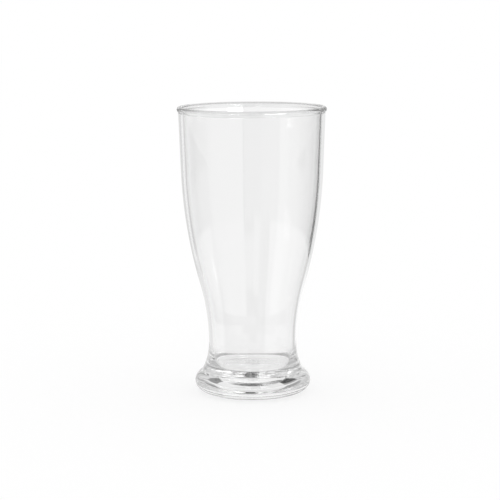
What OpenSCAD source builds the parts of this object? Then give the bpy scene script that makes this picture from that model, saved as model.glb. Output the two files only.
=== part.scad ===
// Pilsner glass: a tall footed beer glass with a beaded rim, a narrow waist and a heavy solid foot.
// Every surface is turned about +Z. The origin is the centre of the face that it stands on.
// The bowl is one wall of glass. The foot is a solid puck, and the bowl's rounded bottom is fused into its top.

/* [Rim] */
// Height of the glass, from the table to the top of the rim
glass_h = 162; // [150:1:185]
// Outer diameter of the rim, over its bead
rim_d = 83.9; // [78:0.1:92]
// Height of the bead, over its rounded outside
bead_h = 3; // [2.2:0.1:4]
// How far the bead stands proud of the wall, which it does outside alone
bead_proud = 0.72; // [0.4:0.02:1.2]
// Radius of the small hollow that blends the bead into the wall
bead_blend = 1.4; // [0.6:0.1:2.5]
// Height over which the top of the rim rounds down to the inner face
lip_h = 0.4; // [0.2:0.05:1.2]

/* [Bowl] */
// Thickness of the wall, from the rim to the belly
wall = 2.35; // [1.8:0.05:3]
// Thickness of the wall at the waist
waist_wall = 2.05; // [1.6:0.05:4]
// Degrees by which the straight upper wall leans out
wall_lean = 2.2; // [1:0.1:3.5]
// Radius of the long rounded curve of the belly, outside
belly_curve = 272; // [230:1:320]
// Radius of the hollow curve above the waist, outside
waist_curve = 126; // [100:1:160]
// Outer diameter at the waist
waist_d = 49.8; // [46:0.1:54]
// Height of the waist above the crease, where the bowl meets the foot
waist_rise = 15.2; // [13:0.1:18]
// How far the bowl flares out from the waist down to the crease
flare_out = 3.85; // [2.5:0.05:5.5]
// Height of the inner floor's edge above the crease, where the seam ends outside
bottom_t = 2.5; // [1.6:0.1:4.5]
// How far the inner floor dishes down to its middle
floor_dish = 2.8; // [0:0.1:3.8]
// How far the seam dishes down to its middle
seam_dish = 2.9; // [2:0.1:4.5]
// Width of the rounded corner between the inner floor and the wall
corner_w = 1; // [1:0.1:6]
// Height of the same corner
corner_h = 5.6; // [2:0.1:9]

/* [Foot] */
// Height of the foot, from the table to the crease
foot_h = 12.6; // [10:0.1:15]
// How far the foot's widest point stands out beyond the crease
shoulder_out = 4.05; // [2.5:0.05:6]
// Height of the foot's widest point
belt_h = 6.7; // [5:0.1:8.5]
// Width by which the heel curves in under the foot
heel_w = 9.4; // [6:0.1:11]
// Degrees that the rounded shoulder sweeps, from the widest point to the crease
shoulder_sweep = 52; // [40:1:70]
// Width of the flat ring that the glass stands on
bearing_w = 3.6; // [1.5:0.1:6]
// Height of the hollow under the foot, at its middle
kick_h = 1.5; // [0.6:0.1:2.5]

/* [Hidden] */

// The colour of clear glass
clear_glass = [0.9, 0.94, 0.95, 0.35];
// Steps in a long curve, in a small round, and round the glass
curve_steps = 24;
round_steps = 10;
turn_steps = 180;

rim_r = rim_d / 2;
waist_r = waist_d / 2;
seam_r = waist_r + flare_out;
foot_r = seam_r + shoulder_out;
waist_h = foot_h + waist_rise;
floor_h = foot_h + bottom_t;

// Points of an ellipse from one angle to another, without the last one, which starts the next stretch
function sweep(centre, half_w, half_h, from, to, steps) = [
    for (i = [0 : steps - 1])
        let (angle = from + (to - from) * i / steps)
            centre + [half_w * cos(angle), half_h * sin(angle)]
];

// The same for a round arc
function arc(centre, radius, from, to, steps) = sweep(centre, radius, radius, from, to, steps);

// Direction of a line from one point to another, in degrees
function bearing(from, to) = atan2(to.y - from.y, to.x - from.x);

// How far to go from start along the unit vector way, to be the length reach from centre
function distance_to_reach(start, way, centre, reach) =
    let (
        offset = start - centre,
        nearest = -(offset * way)
    )
        nearest + sqrt(nearest * nearest - offset * offset + reach * reach);

// Points of a shallow dish, from its edge to its middle, level at both
function dish(radius, height, depth, steps) = [
    for (i = [0 : steps])
        let (share = 1 - i / steps)
            [radius * share, height - depth * pow(1 - share * share, 2)]
];

// Radius of an arc that leaves a line square at one end, drops by drop and swings out by out
function arc_radius(drop, out) = (drop * drop + out * out) / (2 * out);

// The straight upper wall: the way up it, and the way out of it
wall_up = [sin(wall_lean), cos(wall_lean)];
wall_out = [cos(wall_lean), -sin(wall_lean)];

// The bead is round outside, and the wall's outer face runs up into it this far from its centre
bead_r = bead_h / 2;
bead_centre = [rim_r - bead_r, glass_h - bead_r];
face = bead_r - bead_proud;

// The blend touches the wall's outer face and the bead
blend_out = face + bead_blend;
blend_down = sqrt(pow(bead_r + bead_blend, 2) - pow(blend_out, 2));
blend_centre = bead_centre - blend_down * wall_up + blend_out * wall_out;

// Inside, the rim's top rounds down to the wall's inner face, at the height where the lip ends
lip_centre = [bead_centre.x, glass_h - lip_h];
lip_end = bead_centre - (wall - face) * wall_out + ((lip_centre.y - bead_centre.y) / wall_up.y) * wall_up;
lip_w = lip_centre.x - lip_end.x;

// The belly touches the straight wall above it and the hollow curve of the waist below it
waist_centre = [waist_r + waist_curve, waist_h];
belly_start = bead_centre + (face - belly_curve) * wall_out;
belly_centre = belly_start
    + distance_to_reach(belly_start, wall_up, waist_centre, belly_curve + waist_curve) * wall_up;
belly_low = bearing(belly_centre, waist_centre);

// Inside, the same two curves keep the wall's two thicknesses
inner_belly = belly_curve - wall;
inner_waist = waist_curve + waist_wall;
inner_centre = belly_start
    + distance_to_reach(belly_start, wall_up, waist_centre, inner_belly + inner_waist) * wall_up;
inner_low = bearing(inner_centre, waist_centre);

// The fused seam, from the crease in to its middle
seam = dish(seam_r, foot_h, seam_dish, curve_steps);

// The flare runs from the waist down to the crease
flare_curve = arc_radius(waist_rise, flare_out);
flare_centre = [waist_r + flare_curve, waist_h];

// Outside of the bowl, from the seam's middle out to the crease and up over the bead
bowl_outside = concat(
    [for (i = [len(seam) - 1 : -1 : 1]) seam[i]],
    arc(flare_centre, flare_curve, bearing(flare_centre, [seam_r, foot_h]), -180, curve_steps),
    arc(waist_centre, waist_curve, 180, 180 + belly_low, curve_steps),
    arc(belly_centre, belly_curve, belly_low, -wall_lean, curve_steps),
    arc(blend_centre, bead_blend, 180 - wall_lean, bearing(blend_centre, bead_centre), round_steps),
    arc(bead_centre, bead_r, bearing(bead_centre, blend_centre), 90, curve_steps)
);

// The inner floor's edge, where the rounded corner ends
floor_r = waist_r - waist_wall - corner_w;
corner_centre = [floor_r, floor_h + corner_h];

// Inside of the bowl, from the top of the rim down to the middle of the floor
bowl_inside = concat(
    sweep(lip_centre, lip_w, lip_h, 90, 180, round_steps),
    arc(inner_centre, inner_belly, -wall_lean, inner_low, curve_steps),
    arc(waist_centre, inner_waist, 180 + inner_low, 180, curve_steps),
    sweep(corner_centre, corner_w, corner_h, 0, -90, round_steps),
    dish(floor_r, floor_h, floor_dish, curve_steps)
);

// The hollow under the foot is a shallow dome inside the flat ring
kick_r = foot_r - heel_w - bearing_w;
kick_curve = arc_radius(kick_r, kick_h);
kick_centre = [0, kick_h - kick_curve];

// The shoulder's ellipse, of which the sweep takes a part
shoulder_w = shoulder_out / (1 - cos(shoulder_sweep));
shoulder_h = (foot_h - belt_h) / sin(shoulder_sweep);

// The foot, from the middle of its underside round to the middle of the seam
foot_outline = concat(
    arc(kick_centre, kick_curve, 90, bearing(kick_centre, [kick_r, 0]), round_steps),
    [[kick_r, 0]],
    sweep([foot_r - heel_w, belt_h], heel_w, belt_h, -90, 0, curve_steps),
    sweep([foot_r - shoulder_w, belt_h], shoulder_w, shoulder_h, 0, shoulder_sweep, curve_steps),
    seam
);

// Turns an outline about the upright axis
module turned(outline) {
    rotate_extrude($fn = turn_steps)
        polygon(outline);
}

// Blown wall, flare, floor and rim, all one piece
module bowl() {
    color(clear_glass)
        turned(concat(bowl_outside, bowl_inside));
}

// Pressed solid foot
module foot() {
    color(clear_glass)
        turned(foot_outline);
}

bowl();
foot();
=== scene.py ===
"""Looks of a pilsner glass: a bowl with a beaded rim, fused to a heavy solid foot, in a plain pale studio.

Both pieces are surfaces of revolution about +Z. An outline is built from arcs and lines that touch,
and is turned about the axis as one numpy grid. Lengths are in metres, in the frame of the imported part.
"""

import logging
import math
from dataclasses import dataclass, field, replace
from enum import Enum
from typing import ClassVar

import bpy
import numpy as np
from mathutils import Matrix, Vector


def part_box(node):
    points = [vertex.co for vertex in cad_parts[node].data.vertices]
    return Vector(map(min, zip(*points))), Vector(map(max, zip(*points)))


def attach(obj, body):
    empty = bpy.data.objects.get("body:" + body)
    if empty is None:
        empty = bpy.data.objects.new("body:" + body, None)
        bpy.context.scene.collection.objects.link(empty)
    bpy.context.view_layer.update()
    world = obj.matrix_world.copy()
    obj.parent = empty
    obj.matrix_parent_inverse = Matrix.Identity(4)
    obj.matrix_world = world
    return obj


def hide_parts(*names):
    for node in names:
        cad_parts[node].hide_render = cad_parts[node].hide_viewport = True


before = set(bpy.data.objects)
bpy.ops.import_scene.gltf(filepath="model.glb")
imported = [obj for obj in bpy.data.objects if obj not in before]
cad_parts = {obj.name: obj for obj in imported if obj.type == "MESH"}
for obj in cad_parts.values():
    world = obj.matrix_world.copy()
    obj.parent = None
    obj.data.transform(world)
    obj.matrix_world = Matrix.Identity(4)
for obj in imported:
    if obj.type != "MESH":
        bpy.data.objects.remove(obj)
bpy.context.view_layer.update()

MM = 0.001
SLACK = 1e-7
WHITE = (1.0, 1.0, 1.0, 1.0)

# Where the studio's panels stand: bent light that a mirrored panel lets through meets the one behind it
CARD_REACH = 3.0
BEHIND_CARDS = 3.01
SHADE_HEIGHT = -0.05 * MM
UNDER_SHADES = -0.07 * MM
TABLE_HEIGHT = -0.1 * MM

# The table's rings, from the axis out, in metres
# UNDER_FOOT is the disc of painted shadow under the foot
UNDER_FOOT = (0.0, 0.0325)
CLOSE_RING = (0.034, 0.07)
NEAR_RING = (0.07, 0.3)
FAR_RING = (0.3, 2.9)

log = logging.getLogger("pilsner_glass")


class Slot(Enum):
    """Material slots of a turned piece, in the order in which its mesh holds them."""

    GLASS = 0
    SEAM = 1
    # The rim's faces, whose greyer glass is partly painted shade
    RIM = 2


@dataclass(frozen=True)
class Arc:
    """A stretch of an ellipse in the plane of radius and height, round where its half axes are alike.

    A point at angle a lies at the centre plus (half_w cos a, half_h sin a).
    """

    centre: np.ndarray
    half_w: float
    half_h: float
    start: float
    end: float

    def points(self, spacing: float, turn: float) -> np.ndarray:
        """Points from the start up to, and without, the end.

        Args:
            spacing: Longest step between two points, in metres.
            turn: Largest change of angle between two points, in degrees.

        Returns:
            An array of (radius, height) rows.
        """
        sweep = abs(self.end - self.start)
        length = math.radians(sweep) * max(self.half_w, self.half_h)
        steps = max(2, math.ceil(length / spacing), math.ceil(sweep / turn))
        angle = np.radians(np.linspace(self.start, self.end, steps, endpoint=False))
        return self.centre + np.column_stack((self.half_w * np.cos(angle), self.half_h * np.sin(angle)))


@dataclass(frozen=True)
class Line:
    """A straight stretch of an outline, which leaves its last point to what follows."""

    start: np.ndarray
    end: np.ndarray

    def points(self, spacing: float, turn: float) -> np.ndarray:
        """Points from the start up to, and without, the end, closer together towards both ends.

        Args:
            spacing: Longest step between two points, in metres.
            turn: Unused, since a line doesn't turn; it keeps the call like an arc's.

        Returns:
            An array of (radius, height) rows.
        """
        length = float(np.linalg.norm(self.end - self.start))
        steps = max(4, math.ceil(length / spacing))
        share = 0.5 - 0.5 * np.cos(np.pi * np.arange(steps) / steps)
        return self.start + share[:, None] * (self.end - self.start)


@dataclass(frozen=True)
class Dish:
    """A shallow dish round the axis, level at its edge and in its middle.

    Attributes:
        edge: Radius and height of its edge.
        sag: How far its middle lies below the edge.
        inward: Whether its points run from the edge to the middle, or the other way.
    """

    edge: np.ndarray
    sag: float
    inward: bool = True

    def points(self, spacing: float, turn: float) -> np.ndarray:
        """Points from the first end up to, and without, the last, the same ones either way.

        Args:
            spacing: Longest step between two points, in metres.
            turn: Unused, since the dish is shallow; it keeps the call like an arc's.

        Returns:
            An array of (radius, height) rows.
        """
        steps = math.ceil(self.edge[0] / spacing)
        step = np.arange(steps, 0, -1) if self.inward else np.arange(steps)
        radius = self.edge[0] * step / steps
        return np.column_stack((radius, self.height(radius)))

    def height(self, radius: np.ndarray) -> np.ndarray:
        """Its height at a radius r: the edge's, less the sag times (1 - (r / edge radius)^2)^2."""
        return self.edge[1] - self.sag * (1 - (radius / self.edge[0]) ** 2) ** 2

    def middle(self) -> np.ndarray:
        """The dish's lowest point, on the axis."""
        return np.array([0.0, self.edge[1] - self.sag])


def round_arc(centre: np.ndarray, radius: float, start: float, end: float) -> Arc:
    """An arc of a circle, with its angles in degrees."""
    return Arc(centre, radius, radius, start, end)


def bearing(start: np.ndarray, end: np.ndarray) -> float:
    """Direction of the line from start to end, in degrees above the outward radius."""
    step = end - start
    return math.degrees(math.atan2(step[1], step[0]))


def arc_radius(drop: float, out: float) -> float:
    """Radius of an arc that leaves a line square at one end, drops by drop and swings out by out."""
    return (drop * drop + out * out) / (2 * out)


def touching_centre(start: np.ndarray, way: np.ndarray, other: np.ndarray, reach: float) -> np.ndarray:
    """Centre, on the line from start along way, of the arc that touches an arc about other.

    Args:
        start: A point of the line that the centre lies on.
        way: The line's unit direction.
        other: Centre of the arc to touch.
        reach: The two radii together.

    Returns:
        The far one of the two points of the line that lie at that reach from other.
    """
    offset = start - other
    nearest = -float(offset @ way)
    return start + (nearest + math.sqrt(nearest**2 - float(offset @ offset) + reach**2)) * way


@dataclass(frozen=True)
class Turning:
    """How finely an outline is turned into a mesh.

    Attributes:
        spacing: Longest step along the outline, in metres.
        turn: Largest change of angle in a step of an arc, in degrees.
        steps_round: Steps round the axis.
        real_edge: Angle between two faces from which their edge stays sharp, in degrees.
    """

    spacing: float = 1.2 * MM
    turn: float = 4.0
    steps_round: int = 240
    real_edge: float = 20.0

    def outline(self, stretches: list[Arc | Line | Dish], last: np.ndarray) -> np.ndarray:
        """Joins stretches into one row of points that ends at last."""
        parts = [stretch.points(self.spacing, self.turn) for stretch in stretches]
        return np.vstack([*parts, last])

    def mesh(self, name: str, outline: np.ndarray, seam: Dish, rim_h: float = math.inf) -> bpy.types.Mesh:
        """Turns an outline that starts and ends on the axis into a closed mesh.

        The point at row i and step j of the grid is (r_i cos t_j, r_i sin t_j, z_i), where t_j goes once
        round. The first and last rows shrink to one point each, which a fan of triangles closes.

        Args:
            name: Name of the mesh.
            outline: Rows of (radius, height), in the order that keeps the solid on their left.
            seam: The fused seam, whose faces get the seam's slot.
            rim_h: Height from which the faces get the rim's slot.

        Returns:
            The mesh, with its faces outward and smooth but for its real edges.
        """
        count = self.steps_round
        rings = outline[1:-1]
        angle = np.arange(count) * (2 * np.pi / count)
        radius, height = rings[:, :1], rings[:, 1:]
        grid = np.stack(
            (radius * np.cos(angle), radius * np.sin(angle), height + 0 * angle), axis=-1
        ).reshape(-1, 3)
        poles = np.array([[0, 0, outline[0, 1]], [0, 0, outline[-1, 1]]])
        points = np.vstack((grid, poles))

        here = np.arange(count)
        after = (here + 1) % count
        row = np.arange(len(rings) - 1)[:, None] * count
        quads = np.stack((row + here, row + after, row + count + after, row + count + here), axis=-1)
        first, last = len(grid), len(grid) + 1
        end_row = (len(rings) - 1) * count
        start_fan = np.column_stack((np.full(count, first), after, here))
        end_fan = np.column_stack((np.full(count, last), end_row + here, end_row + after))

        corners = np.concatenate((quads.reshape(-1), start_fan.reshape(-1), end_fan.reshape(-1)))
        sides = np.concatenate((np.full(quads.shape[0] * count, 4), np.full(2 * count, 3)))
        starts = np.concatenate(([0], np.cumsum(sides)[:-1]))

        made = bpy.data.meshes.new(name)
        made.vertices.add(len(points))
        made.vertices.foreach_set("co", points.astype(np.float32).ravel())
        made.loops.add(len(corners))
        made.loops.foreach_set("vertex_index", corners.astype(np.int32))
        made.polygons.add(len(starts))
        made.polygons.foreach_set("loop_start", starts.astype(np.int32))
        reach = np.hypot(points[:, 0], points[:, 1])
        fused = (reach < seam.edge[0] + SLACK) & (np.abs(points[:, 2] - seam.height(reach)) < SLACK)
        on_seam = np.logical_and.reduceat(fused[corners], starts)
        on_rim = np.minimum.reduceat(points[corners, 2], starts) > rim_h
        slots = np.select([on_seam, on_rim], [Slot.SEAM.value, Slot.RIM.value], Slot.GLASS.value)
        made.polygons.foreach_set("material_index", slots.astype(np.int32))
        made.update(calc_edges=True)
        made.validate()
        made.polygons.foreach_set("use_smooth", np.ones(len(made.polygons), dtype=bool))
        made.set_sharp_from_angle(angle=math.radians(self.real_edge))
        return made


@dataclass(frozen=True)
class GlassFinish:
    """Clear, fire-polished glass. The rim's greyer kind is partly the bead's longer path through glass and
    partly painted shade.

    Attributes:
        tint: Share of each colour that a wall's two faces let through.
        index: Index of refraction.
        gloss_loss: Roughness of the polished face.
    """

    name: str = "clear_glass"
    tint: tuple[float, float, float, float] = (0.985, 0.985, 0.985, 1.0)
    index: float = 1.51
    gloss_loss: float = 0.0

    def material(self) -> bpy.types.Material:
        """Makes the material."""
        made = bpy.data.materials.new(self.name)
        made.use_nodes = True
        shader = made.node_tree.nodes["Principled BSDF"]
        shader.inputs["Base Color"].default_value = self.tint
        shader.inputs["Roughness"].default_value = self.gloss_loss
        shader.inputs["IOR"].default_value = self.index
        shader.inputs["Transmission Weight"].default_value = 1.0
        return made


@dataclass(frozen=True)
class SeamFinish:
    """The fused seam inside the glass, which nothing shows: light passes through as if it weren't there."""

    name: str = "fused_seam"

    def material(self) -> bpy.types.Material:
        """Makes the material."""
        made = bpy.data.materials.new(self.name)
        made.use_nodes = True
        nodes = made.node_tree.nodes
        nodes.remove(nodes["Principled BSDF"])
        clear = nodes.new("ShaderNodeBsdfTransparent")
        made.node_tree.links.new(clear.outputs["BSDF"], nodes["Material Output"].inputs["Surface"])
        return made


@dataclass
class Bowl:
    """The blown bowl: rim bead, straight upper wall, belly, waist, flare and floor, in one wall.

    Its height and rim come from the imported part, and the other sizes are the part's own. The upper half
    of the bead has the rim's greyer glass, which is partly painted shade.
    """

    seam_h: float
    top_h: float
    rim_r: float
    seam_sag: float = 2.9 * MM
    bead_proud: float = 0.72 * MM
    bead_r: float = 1.5 * MM
    lip_h: float = 0.4 * MM
    bead_blend: float = 1.4 * MM
    wall: float = 2.35 * MM
    waist_wall: float = 2.05 * MM
    wall_lean: float = 2.2
    belly_curve: float = 272 * MM
    waist_curve: float = 126 * MM
    waist_r: float = 24.9 * MM
    waist_rise: float = 15.2 * MM
    flare_out: float = 3.85 * MM
    bottom_t: float = 2.5 * MM
    floor_corner: float = 1.0 * MM
    corner_h: float = 5.6 * MM
    floor_sag: float = 2.8 * MM

    @property
    def seam(self) -> Dish:
        """The fused seam, from the crease in, where the bowl's rounded bottom sits in the foot."""
        return Dish(np.array([self.waist_r + self.flare_out, self.seam_h]), self.seam_sag)

    def floor(self) -> Dish:
        """The inner floor, inside its rounded corner."""
        edge_r = self.waist_r - self.waist_wall - self.floor_corner
        return Dish(np.array([edge_r, self.seam_h + self.bottom_t]), self.floor_sag)

    def stretches(self) -> list[Arc | Line | Dish]:
        """The outline's stretches: under the seam, up the outside, over the bead and down the inside.

        The bead is round, flush with the wall's inner face and proud of its outer face, which a small
        hollow blends it into. The belly's arc touches the straight wall and the hollow arc of the waist,
        and so does the inner face's, which lets the wall grow thicker towards the waist.
        """
        lean = math.radians(self.wall_lean)
        up = np.array([math.sin(lean), math.cos(lean)])
        out = np.array([math.cos(lean), -math.sin(lean)])
        bead = np.array([self.rim_r - self.bead_r, self.top_h - self.bead_r])
        face = self.bead_r - self.bead_proud
        blend_out = face + self.bead_blend
        blend_down = math.sqrt((self.bead_r + self.bead_blend) ** 2 - blend_out**2)
        blend = bead - blend_down * up + blend_out * out

        lip = np.array([bead[0], self.top_h - self.lip_h])
        lip_end = bead - (self.wall - face) * out + ((lip[1] - bead[1]) / up[1]) * up
        lip_w = lip[0] - lip_end[0]

        waist = np.array([self.waist_r + self.waist_curve, self.seam_h + self.waist_rise])
        below_bead = bead + (face - self.belly_curve) * out
        belly = touching_centre(below_bead, up, waist, self.belly_curve + self.waist_curve)
        low = bearing(belly, waist)
        inner_curve = self.belly_curve - self.wall
        inner_waist_curve = self.waist_curve + self.waist_wall
        inner_belly = touching_centre(below_bead, up, waist, inner_curve + inner_waist_curve)
        inner_low = bearing(inner_belly, waist)

        flare_curve = arc_radius(self.waist_rise, self.flare_out)
        flare = np.array([self.waist_r + flare_curve, self.seam_h + self.waist_rise])
        floor = self.floor()
        corner = floor.edge + np.array([0.0, self.corner_h])

        return [
            replace(self.seam, inward=False),
            round_arc(flare, flare_curve, bearing(flare, self.seam.edge), -180),
            round_arc(waist, self.waist_curve, 180, 180 + low),
            round_arc(belly, self.belly_curve, low, -self.wall_lean),
            Line(belly + self.belly_curve * out, blend - self.bead_blend * out),
            round_arc(blend, self.bead_blend, 180 - self.wall_lean, bearing(blend, bead)),
            round_arc(bead, self.bead_r, bearing(bead, blend), 90),
            Arc(lip, lip_w, self.lip_h, 90, 180),
            Line(lip_end, inner_belly + inner_curve * out),
            round_arc(inner_belly, inner_curve, -self.wall_lean, inner_low),
            round_arc(waist, inner_waist_curve, 180 + inner_low, 180),
            Line(
                np.array([self.waist_r - self.waist_wall, self.seam_h + self.waist_rise]),
                corner + np.array([self.floor_corner, 0.0]),
            ),
            Arc(corner, self.floor_corner, self.corner_h, 0, -90),
            floor,
        ]

    def build(self, turning: Turning) -> bpy.types.Object:
        """Builds the bowl's piece."""
        outline = turning.outline(self.stretches(), self.floor().middle())
        made = turning.mesh("blown_bowl", outline, self.seam, self.top_h - self.bead_r)
        return bpy.data.objects.new("blown_bowl", made)


@dataclass
class Foot:
    """The pressed foot: a solid puck with a round belt, a flat ring to stand on and a shallow hollow."""

    seam: Dish
    belt_r: float
    belt_h: float = 6.7 * MM
    heel_w: float = 9.4 * MM
    shoulder_sweep: float = 52.0
    bearing_w: float = 3.6 * MM
    kick_h: float = 1.5 * MM

    def stretches(self) -> list[Arc | Line | Dish]:
        """The outline's stretches: out along the hollow and the ring, round the belt, in along the seam."""
        ring_r = self.belt_r - self.heel_w
        kick_r = ring_r - self.bearing_w
        kick_curve = arc_radius(kick_r, self.kick_h)
        kick = np.array([0.0, self.kick_h - kick_curve])
        kick_edge = np.array([kick_r, 0.0])
        sweep = math.radians(self.shoulder_sweep)
        seam_r, seam_h = self.seam.edge
        shoulder_w = (self.belt_r - seam_r) / (1 - math.cos(sweep))
        shoulder_h = (seam_h - self.belt_h) / math.sin(sweep)
        return [
            round_arc(kick, kick_curve, 90, bearing(kick, kick_edge)),
            Line(kick_edge, np.array([ring_r, 0.0])),
            Arc(np.array([ring_r, self.belt_h]), self.heel_w, self.belt_h, -90, 0),
            Arc(
                np.array([self.belt_r - shoulder_w, self.belt_h]),
                shoulder_w, shoulder_h, 0, self.shoulder_sweep,
            ),
            self.seam,
        ]

    def build(self, turning: Turning) -> bpy.types.Object:
        """Builds the foot's piece."""
        outline = turning.outline(self.stretches(), self.seam.middle())
        return bpy.data.objects.new("pressed_foot", turning.mesh("pressed_foot", outline, self.seam))


@dataclass
class Glass:
    """The whole glass, in two pieces that meet at the fused seam."""

    turning: Turning = field(default_factory=Turning)
    glass: GlassFinish = field(default_factory=GlassFinish)
    seam: SeamFinish = field(default_factory=SeamFinish)
    # The rim's grey tint is partly the longer path through the bead and partly painted shade that darkens
    # the bead's lines
    rim: GlassFinish = GlassFinish("rim_glass_painted_shade", (0.7, 0.7, 0.7, 1.0))

    def build(self) -> dict[str, bpy.types.Object]:
        """Builds, dresses and places both pieces.

        Returns:
            The piece that stands for each node, by the node's name.
        """
        _, foot_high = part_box("foot")
        _, bowl_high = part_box("bowl")
        bowl = Bowl(seam_h=foot_high.z, top_h=bowl_high.z, rim_r=bowl_high.y)
        foot = Foot(seam=bowl.seam, belt_r=foot_high.y)
        pieces = {"bowl": bowl.build(self.turning), "foot": foot.build(self.turning)}
        finishes = [self.glass.material(), self.seam.material(), self.rim.material()]
        for node, piece in pieces.items():
            for finish in finishes:
                piece.data.materials.append(finish)
            bpy.context.scene.collection.objects.link(piece)
            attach(piece, "root")
            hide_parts(node)
        return pieces


class Seen(Enum):
    """Which light meets a panel: all that the glass bends, or only what it has mirrored at least once."""

    BENT = "bent"
    MIRRORED = "mirrored"


@dataclass(frozen=True)
class Panel:
    """A panel of the studio, which the camera itself never sees.

    Attributes:
        name: What the panel is.
        side: Where it starts and ends, in degrees round from the camera's side towards +X.
        span: Its nearer and farther edge, or its lower and upper one.
        glow: Its brightness, where the white air round it is 1.
        seen: Which light meets it.
        step: About how far apart its points are, in degrees.
    """

    name: str
    side: tuple[float, float]
    span: tuple[float, float]
    glow: float
    seen: Seen = Seen.MIRRORED
    step: ClassVar[float] = 3.0

    def grid(self) -> np.ndarray:
        """The panel's points, in rows of equal span."""
        raise NotImplementedError

    def turns(self) -> np.ndarray:
        """Where its columns stand, in radians."""
        steps = max(2, round((self.side[1] - self.side[0]) / self.step))
        return np.radians(np.linspace(*self.side, steps + 1))

    def build(self) -> bpy.types.Object:
        """Builds the panel and hides it from the camera, from diffuse light and from shadows."""
        piece = bpy.data.objects.new(self.name, grid_mesh(self.name, self.grid()))
        piece.data.materials.append(panel_material(self.name, self.glow, self.seen))
        piece.visible_camera = False
        piece.visible_diffuse = False
        piece.visible_shadow = False
        bpy.context.scene.collection.objects.link(piece)
        return piece


@dataclass(frozen=True)
class Card(Panel):
    """A curved panel that stands round the glass; its span is in degrees above the table.

    Attributes:
        reach: Its distance from the point of the table under the glass.
    """

    reach: float = CARD_REACH

    def grid(self) -> np.ndarray:
        """Points of a sphere: at turn t and rise e, the reach times (cos e sin t, -cos e cos t, sin e)."""
        steps = max(2, round((self.span[1] - self.span[0]) / self.step))
        turn, rise = np.meshgrid(self.turns(), np.radians(np.linspace(*self.span, steps + 1)))
        return self.reach * np.stack(
            (np.cos(rise) * np.sin(turn), -np.cos(rise) * np.cos(turn), np.sin(rise)), axis=-1
        )


@dataclass(frozen=True)
class Shade(Panel):
    """A flat panel that lies on the table, a hair under the glass; its span is in metres from the axis.

    Attributes:
        height: How high it lies.
    """

    height: float = SHADE_HEIGHT

    def grid(self) -> np.ndarray:
        """Points just over the table: at turn t and distance d, (d sin t, -d cos t, the height)."""
        turn, distance = np.meshgrid(self.turns(), np.array(self.span))
        height = np.full_like(turn, self.height)
        return np.stack((distance * np.sin(turn), -distance * np.cos(turn), height), axis=-1)


def grid_mesh(name: str, points: np.ndarray) -> bpy.types.Mesh:
    """Makes an open mesh of quads from a grid of points, of shape (rows, columns, 3)."""
    rows, columns = points.shape[:2]
    corner = (np.arange(rows - 1)[:, None] * columns + np.arange(columns - 1)).reshape(-1, 1)
    quads = corner + np.array([0, 1, columns + 1, columns])
    made = bpy.data.meshes.new(name)
    made.vertices.add(rows * columns)
    made.vertices.foreach_set("co", points.astype(np.float32).ravel())
    made.loops.add(quads.size)
    made.loops.foreach_set("vertex_index", quads.astype(np.int32).ravel())
    made.polygons.add(len(quads))
    made.polygons.foreach_set("loop_start", (4 * np.arange(len(quads))).astype(np.int32))
    made.update(calc_edges=True)
    return made


def panel_material(name: str, glow: float, seen: Seen) -> bpy.types.Material:
    """Makes a panel's even glow, which light that was only bent passes through where the panel asks it."""
    made = bpy.data.materials.new(name)
    made.use_nodes = True
    nodes, links = made.node_tree.nodes, made.node_tree.links
    nodes.remove(nodes["Principled BSDF"])
    light = nodes.new("ShaderNodeEmission")
    light.inputs["Strength"].default_value = glow
    surface = light.outputs["Emission"]
    if seen is Seen.MIRRORED:
        path = nodes.new("ShaderNodeLightPath")
        clear = nodes.new("ShaderNodeBsdfTransparent")
        mix = nodes.new("ShaderNodeMixShader")
        links.new(path.outputs["Glossy Depth"], mix.inputs["Fac"])
        links.new(clear.outputs["BSDF"], mix.inputs[1])
        links.new(surface, mix.inputs[2])
        surface = mix.outputs["Shader"]
    links.new(surface, nodes["Material Output"].inputs["Surface"])
    made.cycles.emission_sampling = "NONE"
    return made


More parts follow.
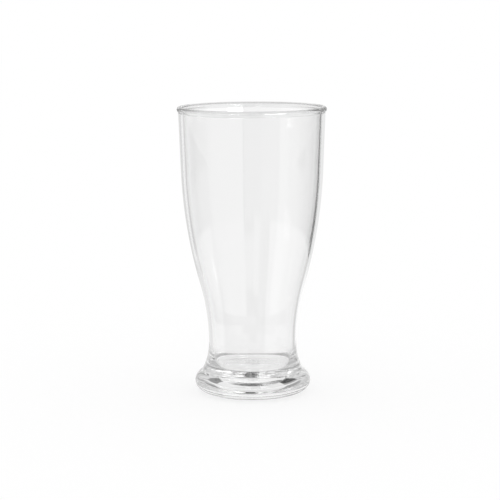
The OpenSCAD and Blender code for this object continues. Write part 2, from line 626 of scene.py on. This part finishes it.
@dataclass
class Studio:
    """The plain pale studio: white air, a white table, softboxes at the sides, dark behind the camera.

    Attributes:
        air: Brightness of the air.
        table_size: Length of the table's sides.
        table_glow: The table's own light, which with its paint under the air comes to 1.
        table_paint: Share of the light on it that the table gives back.
        bounces: How often a ray may bend or bounce, many times along the inside of the wall.
        panels: The softboxes, reflectors and dark cards, and the shades on the table, one of them a painted
            shadow under the foot.
    """

    air: float = 1.0
    table_size: float = 8.0
    table_glow: float = 0.8
    table_paint: float = 0.2
    bounces: int = 300
    panels: tuple[Panel, ...] = (
        # Cards on the camera's side, which give the foot its dark rows
        Card("dark_camera_side", (-4, 16), (24, 48), 0.0),
        Card("pale_camera_side", (-4, 16), (15.5, 24), 0.55),
        Card("low_dark_camera_side", (-4, 16), (12, 15.5), 0.0),
        Card("low_camera_side", (-16, 16), (0, 12), 0.03),
        Card("dark_above_camera", (-14, 30), (48, 76), 0.05),
        Card("low_reflector", (-16, -4), (12, 24), 0.7),
        Card("camera_side_reflector", (-16, -4), (24, 40), 2.2),
        # Cards on the left, and behind it
        Card("left_gap", (-50, -16), (0, 36), 0.25),
        Card("left_softbox", (-78, -14), (40, 76), 1.0),
        Card("left_side", (-110, -50), (0, 36), 0.75),
        Card("left_far_side", (-144, -110), (0, 45), 0.65),
        Card("left_far_top", (-144, -110), (45, 76), 0.0),
        Card("left_back_low", (-160, -144), (0, 24), 0.35),
        Card("left_back_dark", (-160, -144), (24, 76), 0.05),
        # Cards on the right, and behind it
        Card("right_low", (16, 84), (4, 24), 1.0),
        Card("right_strip", (16, 32), (24, 48), 2.8),
        Card("right_softbox", (32, 84), (24, 58), 1.1),
        Card("rim_light", (17, 47), (50, 54), 9.0, reach=0.2),
        Card("right_side_low", (84, 142), (0, 12), 0.42),
        Card("right_side", (84, 142), (12, 50), 0.7),
        Card("right_top", (84, 170), (50, 76), 0.0),
        # The ceiling and the back, for all the light that the glass bends
        Card("dark_ceiling", (-180, 180), (78, 89.5), 0.0, Seen.BENT, BEHIND_CARDS),
        Card("grey_ceiling_back", (120, 240), (60, 78), 0.2, Seen.BENT, BEHIND_CARDS),
        Card("pale_back", (130, 230), (0, 25), 0.86, Seen.BENT, BEHIND_CARDS),
        # Shades on the table, from the far ones in to the painted shadow under the foot
        Shade("far_left", (-75, -12), FAR_RING, 0.05),
        Shade("far_front", (-12, 30), FAR_RING, 0.4),
        Shade("far_right", (30, 60), FAR_RING, 0.45),
        Shade("far_right_end", (60, 82), FAR_RING, 0.25),
        Shade("far_right_side", (82, 143), FAR_RING, 0.08),
        Shade("far_left_side", (-110, -75), FAR_RING, 0.28),
        Shade("far_left_corner", (-126, -110), FAR_RING, 0.65),
        Shade("far_left_grey", (-140, -126), FAR_RING, 0.55),
        Shade("far_left_pale", (-151, -140), FAR_RING, 0.95),
        Shade("far_left_back", (-160, -151), FAR_RING, 0.6),
        Shade("far_back", (143, 200), FAR_RING, 0.82),
        Shade("near_left", (-75, -12), NEAR_RING, 0.2),
        Shade("near_front", (-12, 30), NEAR_RING, 0.25),
        Shade("near_right", (30, 60), NEAR_RING, 0.88),
        Shade("near_right_side", (60, 145), NEAR_RING, 0.65),
        Shade("near_left_side", (-160, -75), NEAR_RING, 0.8),
        Shade("close_front", (-16, 16), CLOSE_RING, 0.0),
        Shade("close_left", (-110, -30), CLOSE_RING, 0.5),
        Shade("close_right", (30, 110), CLOSE_RING, 0.55),
        # Painted shadow: a darker disc on the table under the foot, which mirrored light sees as the foot's
        # own shadow
        Shade("painted_shadow_under_foot", (0, 360), UNDER_FOOT, 0.5),
        # The back, which lights the floor of the bowl
        Card("back_right_low", (142, 156), (0, 10), 0.55),
        Card("back_right_dark", (142, 156), (10, 50), 0.25),
        Card("back_right", (156, 170), (0, 50), 0.85),
        Card("back", (170, 200), (0, 76), 0.82),
        Shade("dark_back_right", (151.5, 158), (0.45, 2.9), 0.05, Seen.BENT, UNDER_SHADES),
        Shade("grey_back_left", (200, 208), FAR_RING, 0.7, Seen.BENT, UNDER_SHADES),
    )

    def build(self) -> None:
        """Builds the table, the panels and the air, and sets how the image is shown."""
        scene = bpy.context.scene
        world = bpy.data.worlds.new("studio_air")
        world.use_nodes = True
        air = world.node_tree.nodes["Background"]
        air.inputs["Color"].default_value = WHITE
        air.inputs["Strength"].default_value = self.air
        scene.world = world
        self.table()
        for panel in self.panels:
            panel.build()
        scene.view_settings.view_transform = "Standard"
        scene.cycles.max_bounces = self.bounces
        scene.cycles.transmission_bounces = self.bounces
        scene.cycles.glossy_bounces = self.bounces
        scene.cycles.transparent_max_bounces = self.bounces

    def table(self) -> bpy.types.Object:
        """Builds the white table, a hair under the glass."""
        half = self.table_size / 2
        side = np.array([-half, half])
        x, y = np.meshgrid(side, side)
        points = np.stack((x, y, np.full_like(x, TABLE_HEIGHT)), axis=-1)
        piece = bpy.data.objects.new("table", grid_mesh("table", points))
        made = bpy.data.materials.new("white_table")
        made.use_nodes = True
        shader = made.node_tree.nodes["Principled BSDF"]
        shader.inputs["Base Color"].default_value = (self.table_paint,) * 3 + (1.0,)
        shader.inputs["Roughness"].default_value = 1.0
        shader.inputs["Specular IOR Level"].default_value = 0.0
        shader.inputs["Emission Color"].default_value = WHITE
        shader.inputs["Emission Strength"].default_value = self.table_glow
        made.cycles.emission_sampling = "NONE"
        piece.data.materials.append(made)
        bpy.context.scene.collection.objects.link(piece)
        return piece


@dataclass
class Viewpoint:
    """The camera, as the photograph has it: a little above the glass and looking slightly down.

    Attributes:
        distance: How far it is from the glass's axis.
        height: How high it is above the table.
        aside: How far it is to the right of the axis.
        pitch: How far it looks down, in degrees.
        roll: How far it leans, in degrees.
        lens: Focal length, in millimetres.
        film: Width of the film, in millimetres.
        near: Distance from which it sees.
        far: Distance up to which it sees.
    """

    distance: float = 1026.3 * MM
    height: float = 235.6 * MM
    aside: float = -1.3 * MM
    pitch: float = 8.569
    roll: float = -0.24
    lens: float = 132.37
    film: float = 36.0
    near: float = 0.05
    far: float = 50.0

    def build(self) -> bpy.types.Object:
        """Builds the camera and makes it the scene's own."""
        data = bpy.data.cameras.new("viewpoint")
        data.lens = self.lens
        data.sensor_width = self.film
        data.clip_start = self.near
        data.clip_end = self.far
        camera = bpy.data.objects.new("viewpoint", data)
        place = Matrix.Translation((self.aside, -self.distance, self.height))
        tilt = Matrix.Rotation(math.radians(90 - self.pitch), 4, "X")
        turn = Matrix.Rotation(math.radians(self.roll), 4, "Z")
        camera.matrix_world = place @ tilt @ turn
        bpy.context.scene.collection.objects.link(camera)
        bpy.context.scene.camera = camera
        return camera


def main() -> None:
    """Builds the glass, the studio and the camera."""
    logging.basicConfig(level=logging.INFO, format="%(name)s: %(message)s")
    pieces = Glass().build()
    for node, piece in pieces.items():
        log.info("%s stands for %s, with %d faces", piece.name, node, len(piece.data.polygons))
    Studio().build()
    Viewpoint().build()


if __name__ == "__main__":
    main()
